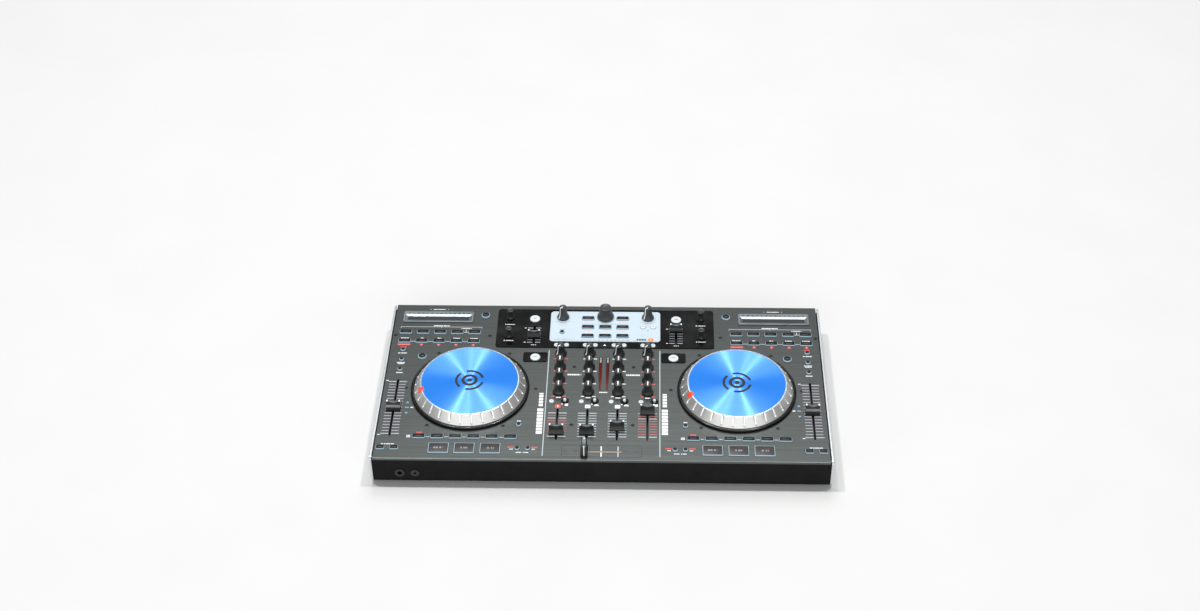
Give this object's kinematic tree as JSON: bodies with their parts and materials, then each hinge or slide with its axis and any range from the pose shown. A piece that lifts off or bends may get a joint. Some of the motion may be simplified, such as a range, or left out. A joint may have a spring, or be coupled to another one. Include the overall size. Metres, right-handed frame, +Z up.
{
  "type": "dj controller",
  "caption": "Low, wide four-channel DJ controller: two blue touch platters on silver wheels, knobs, sliding faders and keys on a brushed panel with silver side cheeks.",
  "frame": {"origin": "under the middle of the box, on the plane that the feet stand on", "axes": "+Z up, +X to the user's right along the longest side, +Y to the back where the sockets are"},
  "size_m": [0.6, 0.308, 0.0681],
  "materials": {
    "case_plastic": "fine textured black",
    "panel_metal": "brushed gunmetal",
    "cheek_metal": "satin anodised silver",
    "gloss_black": "gloss black",
    "plate_metal": "satin light grey blue",
    "strip_frame": "satin silver",
    "board": "green solder mask",
    "control_body": "moulded",
    "bearing_steel": "turned",
    "socket_plastic": "moulded black",
    "foot_rubber": "matte",
    "screw_steel": "black oxide",
    "wheel_metal": "turned silver",
    "disc_metal": "blue anodised, circular brushed",
    "knob_plastic": "soft charcoal",
    "cap_plastic": "soft charcoal",
    "key_plastic": "translucent with dark top",
    "white_plastic": "white",
    "shaft_steel": "turned"
  },
  "bodies": {
    "chassis": {"bottom_case": "case_plastic", "top_panel": "panel_metal", "side_trims": "cheek_metal", "mixer_bezels": "gloss_black", "center_plate": "plate_metal", "search_strips": "strip_frame", "platter_rings": "gloss_black", "circuit_boards": "board", "potentiometers": "control_body", "bearing_housings": "bearing_steel", "sockets": "socket_plastic", "feet": "foot_rubber", "fasteners": "screw_steel"},
    "platter_left": {"jog_wheel_left": "wheel_metal", "jog_disc_left": "disc_metal"},
    "platter_right": {"jog_wheel_right": "wheel_metal", "jog_disc_right": "disc_metal"},
    "gain_knob_1": {"gain_knob_1": "knob_plastic"},
    "treble_knob_1": {"treble_knob_1": "knob_plastic"},
    "mid_knob_1": {"mid_knob_1": "knob_plastic"},
    "bass_knob_1": {"bass_knob_1": "knob_plastic"},
    "gain_knob_2": {"gain_knob_2": "knob_plastic"},
    "treble_knob_2": {"treble_knob_2": "knob_plastic"},
    "mid_knob_2": {"mid_knob_2": "knob_plastic"},
    "bass_knob_2": {"bass_knob_2": "knob_plastic"},
    "gain_knob_3": {"gain_knob_3": "knob_plastic"},
    "treble_knob_3": {"treble_knob_3": "knob_plastic"},
    "mid_knob_3": {"mid_knob_3": "knob_plastic"},
    "bass_knob_3": {"bass_knob_3": "knob_plastic"},
    "gain_knob_4": {"gain_knob_4": "knob_plastic"},
    "treble_knob_4": {"treble_knob_4": "knob_plastic"},
    "mid_knob_4": {"mid_knob_4": "knob_plastic"},
    "bass_knob_4": {"bass_knob_4": "knob_plastic"},
    "phones_knob": {"phones_knob": "knob_plastic"},
    "booth_knob": {"booth_knob": "knob_plastic"},
    "effect_select_left": {"effect_select_left": "knob_plastic"},
    "effect_mix_left": {"effect_mix_left": "knob_plastic"},
    "effect_select_right": {"effect_select_right": "knob_plastic"},
    "effect_mix_right": {"effect_mix_right": "knob_plastic"},
    "browse_shaft": {"browse_shaft": "shaft_steel"},
    "browse_knob": {"browse_knob": "knob_plastic"},
    "channel_fader_1": {"channel_fader_1": "cap_plastic"},
    "channel_fader_2": {"channel_fader_2": "cap_plastic"},
    "channel_fader_3": {"channel_fader_3": "cap_plastic"},
    "channel_fader_4": {"channel_fader_4": "cap_plastic"},
    "pitch_fader_left": {"pitch_fader_left": "cap_plastic"},
    "effect_fader_left": {"effect_fader_left": "cap_plastic"},
    "pitch_fader_right": {"pitch_fader_right": "cap_plastic"},
    "effect_fader_right": {"effect_fader_right": "cap_plastic"},
    "crossfader": {"crossfader": "cap_plastic"},
    "input_switches": {"input_switches": "white_plastic"},
    "sync_key_left": {"sync_key_left": "key_plastic"},
    "cue_key_left": {"cue_key_left": "key_plastic"},
    "play_key_left": {"play_key_left": "key_plastic"},
    "deck_keys_left": {"deck_keys_left": "key_plastic"},
    "sync_key_right": {"sync_key_right": "key_plastic"},
    "cue_key_right": {"cue_key_right": "key_plastic"},
    "play_key_right": {"play_key_right": "key_plastic"},
    "deck_keys_right": {"deck_keys_right": "key_plastic"},
    "mixer_keys": {"mixer_keys": "key_plastic"}
  },
  "joints": [
    {"name": "platter_turn_left", "type": "hinge", "parent": "chassis", "child": "platter_left", "pos_m": [-0.179, -0.0205, 0.05], "axis": [0, 0, -1], "continuous": true},
    {"name": "platter_turn_right", "type": "hinge", "parent": "chassis", "child": "platter_right", "pos_m": [0.179, -0.0205, 0.05], "axis": [0, 0, -1], "continuous": true},
    {"name": "gain_knob_1_turn", "type": "hinge", "parent": "chassis", "child": "gain_knob_1", "pos_m": [-0.0597, 0.0528, 0.05], "axis": [0, 0, -1], "range_deg": [0, 270]},
    {"name": "treble_knob_1_turn", "type": "hinge", "parent": "chassis", "child": "treble_knob_1", "pos_m": [-0.0597, 0.0253, 0.05], "axis": [0, 0, -1], "range_deg": [-135, 135]},
    {"name": "mid_knob_1_turn", "type": "hinge", "parent": "chassis", "child": "mid_knob_1", "pos_m": [-0.0597, 0.0003, 0.05], "axis": [0, 0, -1], "range_deg": [-135, 135]},
    {"name": "bass_knob_1_turn", "type": "hinge", "parent": "chassis", "child": "bass_knob_1", "pos_m": [-0.0597, -0.0247, 0.05], "axis": [0, 0, -1], "range_deg": [-135, 135]},
    {"name": "gain_knob_2_turn", "type": "hinge", "parent": "chassis", "child": "gain_knob_2", "pos_m": [-0.0199, 0.0528, 0.05], "axis": [0, 0, -1], "range_deg": [0, 270]},
    {"name": "treble_knob_2_turn", "type": "hinge", "parent": "chassis", "child": "treble_knob_2", "pos_m": [-0.0199, 0.0253, 0.05], "axis": [0, 0, -1], "range_deg": [-135, 135]},
    {"name": "mid_knob_2_turn", "type": "hinge", "parent": "chassis", "child": "mid_knob_2", "pos_m": [-0.0199, 0.0003, 0.05], "axis": [0, 0, -1], "range_deg": [-135, 135]},
    {"name": "bass_knob_2_turn", "type": "hinge", "parent": "chassis", "child": "bass_knob_2", "pos_m": [-0.0199, -0.0247, 0.05], "axis": [0, 0, -1], "range_deg": [-135, 135]},
    {"name": "gain_knob_3_turn", "type": "hinge", "parent": "chassis", "child": "gain_knob_3", "pos_m": [0.0199, 0.0528, 0.05], "axis": [0, 0, -1], "range_deg": [0, 270]},
    {"name": "treble_knob_3_turn", "type": "hinge", "parent": "chassis", "child": "treble_knob_3", "pos_m": [0.0199, 0.0253, 0.05], "axis": [0, 0, -1], "range_deg": [-135, 135]},
    {"name": "mid_knob_3_turn", "type": "hinge", "parent": "chassis", "child": "mid_knob_3", "pos_m": [0.0199, 0.0003, 0.05], "axis": [0, 0, -1], "range_deg": [-135, 135]},
    {"name": "bass_knob_3_turn", "type": "hinge", "parent": "chassis", "child": "bass_knob_3", "pos_m": [0.0199, -0.0247, 0.05], "axis": [0, 0, -1], "range_deg": [-135, 135]},
    {"name": "gain_knob_4_turn", "type": "hinge", "parent": "chassis", "child": "gain_knob_4", "pos_m": [0.0597, 0.0528, 0.05], "axis": [0, 0, -1], "range_deg": [0, 270]},
    {"name": "treble_knob_4_turn", "type": "hinge", "parent": "chassis", "child": "treble_knob_4", "pos_m": [0.0597, 0.0253, 0.05], "axis": [0, 0, -1], "range_deg": [-135, 135]},
    {"name": "mid_knob_4_turn", "type": "hinge", "parent": "chassis", "child": "mid_knob_4", "pos_m": [0.0597, 0.0003, 0.05], "axis": [0, 0, -1], "range_deg": [-135, 135]},
    {"name": "bass_knob_4_turn", "type": "hinge", "parent": "chassis", "child": "bass_knob_4", "pos_m": [0.0597, -0.0247, 0.05], "axis": [0, 0, -1], "range_deg": [-135, 135]},
    {"name": "phones_knob_turn", "type": "hinge", "parent": "chassis", "child": "phones_knob", "pos_m": [-0.0595, 0.1266, 0.05], "axis": [0, 0, -1], "range_deg": [0, 270]},
    {"name": "booth_knob_turn", "type": "hinge", "parent": "chassis", "child": "booth_knob", "pos_m": [0.0595, 0.1266, 0.05], "axis": [0, 0, -1], "range_deg": [0, 270]},
    {"name": "effect_select_left_turn", "type": "hinge", "parent": "chassis", "child": "effect_select_left", "pos_m": [-0.1333, 0.126, 0.05], "axis": [0, 0, -1], "continuous": true},
    {"name": "effect_mix_left_turn", "type": "hinge", "parent": "chassis", "child": "effect_mix_left", "pos_m": [-0.1333, 0.0874, 0.05], "axis": [0, 0, -1], "continuous": true},
    {"name": "effect_select_right_turn", "type": "hinge", "parent": "chassis", "child": "effect_select_right", "pos_m": [0.1333, 0.126, 0.05], "axis": [0, 0, -1], "continuous": true},
    {"name": "effect_mix_right_turn", "type": "hinge", "parent": "chassis", "child": "effect_mix_right", "pos_m": [0.1333, 0.0874, 0.05], "axis": [0, 0, -1], "continuous": true},
    {"name": "browse_push", "type": "slide", "parent": "chassis", "child": "browse_shaft", "axis": [0, 0, -1], "range_m": [0, 0.0012], "stiffness_N_per_m": 400, "springref_m": -0.001},
    {"name": "browse_turn", "type": "hinge", "parent": "browse_shaft", "child": "browse_knob", "pos_m": [0, 0.1274, 0.05], "axis": [0, 0, -1], "continuous": true},
    {"name": "channel_fader_1_slide", "type": "slide", "parent": "chassis", "child": "channel_fader_1", "axis": [0, 1, 0], "range_m": [-0.0064, 0.0386]},
    {"name": "channel_fader_2_slide", "type": "slide", "parent": "chassis", "child": "channel_fader_2", "axis": [0, 1, 0], "range_m": [-0.0062, 0.0388]},
    {"name": "channel_fader_3_slide", "type": "slide", "parent": "chassis", "child": "channel_fader_3", "axis": [0, 1, 0], "range_m": [-0.014, 0.031]},
    {"name": "channel_fader_4_slide", "type": "slide", "parent": "chassis", "child": "channel_fader_4", "axis": [0, 1, 0], "range_m": [-0.045, 0]},
    {"name": "pitch_fader_left_slide", "type": "slide", "parent": "chassis", "child": "pitch_fader_left", "axis": [0, 1, 0], "range_m": [-0.05, 0.05]},
    {"name": "effect_fader_left_slide", "type": "slide", "parent": "chassis", "child": "effect_fader_left", "axis": [0, 1, 0], "range_m": [-0.0142, 0.0158]},
    {"name": "pitch_fader_right_slide", "type": "slide", "parent": "chassis", "child": "pitch_fader_right", "axis": [0, 1, 0], "range_m": [-0.05, 0.05]},
    {"name": "effect_fader_right_slide", "type": "slide", "parent": "chassis", "child": "effect_fader_right", "axis": [0, 1, 0], "range_m": [-0.0289, 0.0011]},
    {"name": "crossfader_slide", "type": "slide", "parent": "chassis", "child": "crossfader", "axis": [1, 0, 0], "range_m": [0, 0.044]},
    {"name": "input_switch_flip", "type": "hinge", "parent": "chassis", "child": "input_switches", "pos_m": [0, -0.042, 0.042], "axis": [-1, 0, 0], "range_deg": [0, 24]},
    {"name": "sync_key_left_press", "type": "slide", "parent": "chassis", "child": "sync_key_left", "axis": [0, 0, -1], "range_m": [0, 0.0012], "stiffness_N_per_m": 200, "springref_m": -0.001},
    {"name": "cue_key_left_press", "type": "slide", "parent": "chassis", "child": "cue_key_left", "axis": [0, 0, -1], "range_m": [0, 0.0012], "stiffness_N_per_m": 200, "springref_m": -0.001},
    {"name": "play_key_left_press", "type": "slide", "parent": "chassis", "child": "play_key_left", "axis": [0, 0, -1], "range_m": [0, 0.0012], "stiffness_N_per_m": 200, "springref_m": -0.001},
    {"name": "deck_keys_left_press", "type": "slide", "parent": "chassis", "child": "deck_keys_left", "axis": [0, 0, -1], "range_m": [0, 0.0012], "stiffness_N_per_m": 800, "springref_m": -0.002},
    {"name": "sync_key_right_press", "type": "slide", "parent": "chassis", "child": "sync_key_right", "axis": [0, 0, -1], "range_m": [0, 0.0012], "stiffness_N_per_m": 200, "springref_m": -0.001},
    {"name": "cue_key_right_press", "type": "slide", "parent": "chassis", "child": "cue_key_right", "axis": [0, 0, -1], "range_m": [0, 0.0012], "stiffness_N_per_m": 200, "springref_m": -0.001},
    {"name": "play_key_right_press", "type": "slide", "parent": "chassis", "child": "play_key_right", "axis": [0, 0, -1], "range_m": [0, 0.0012], "stiffness_N_per_m": 200, "springref_m": -0.001},
    {"name": "deck_keys_right_press", "type": "slide", "parent": "chassis", "child": "deck_keys_right", "axis": [0, 0, -1], "range_m": [0, 0.0012], "stiffness_N_per_m": 800, "springref_m": -0.002},
    {"name": "mixer_keys_press", "type": "slide", "parent": "chassis", "child": "mixer_keys", "axis": [0, 0, -1], "range_m": [0, 0.0012], "stiffness_N_per_m": 800, "springref_m": -0.002}
  ]
}
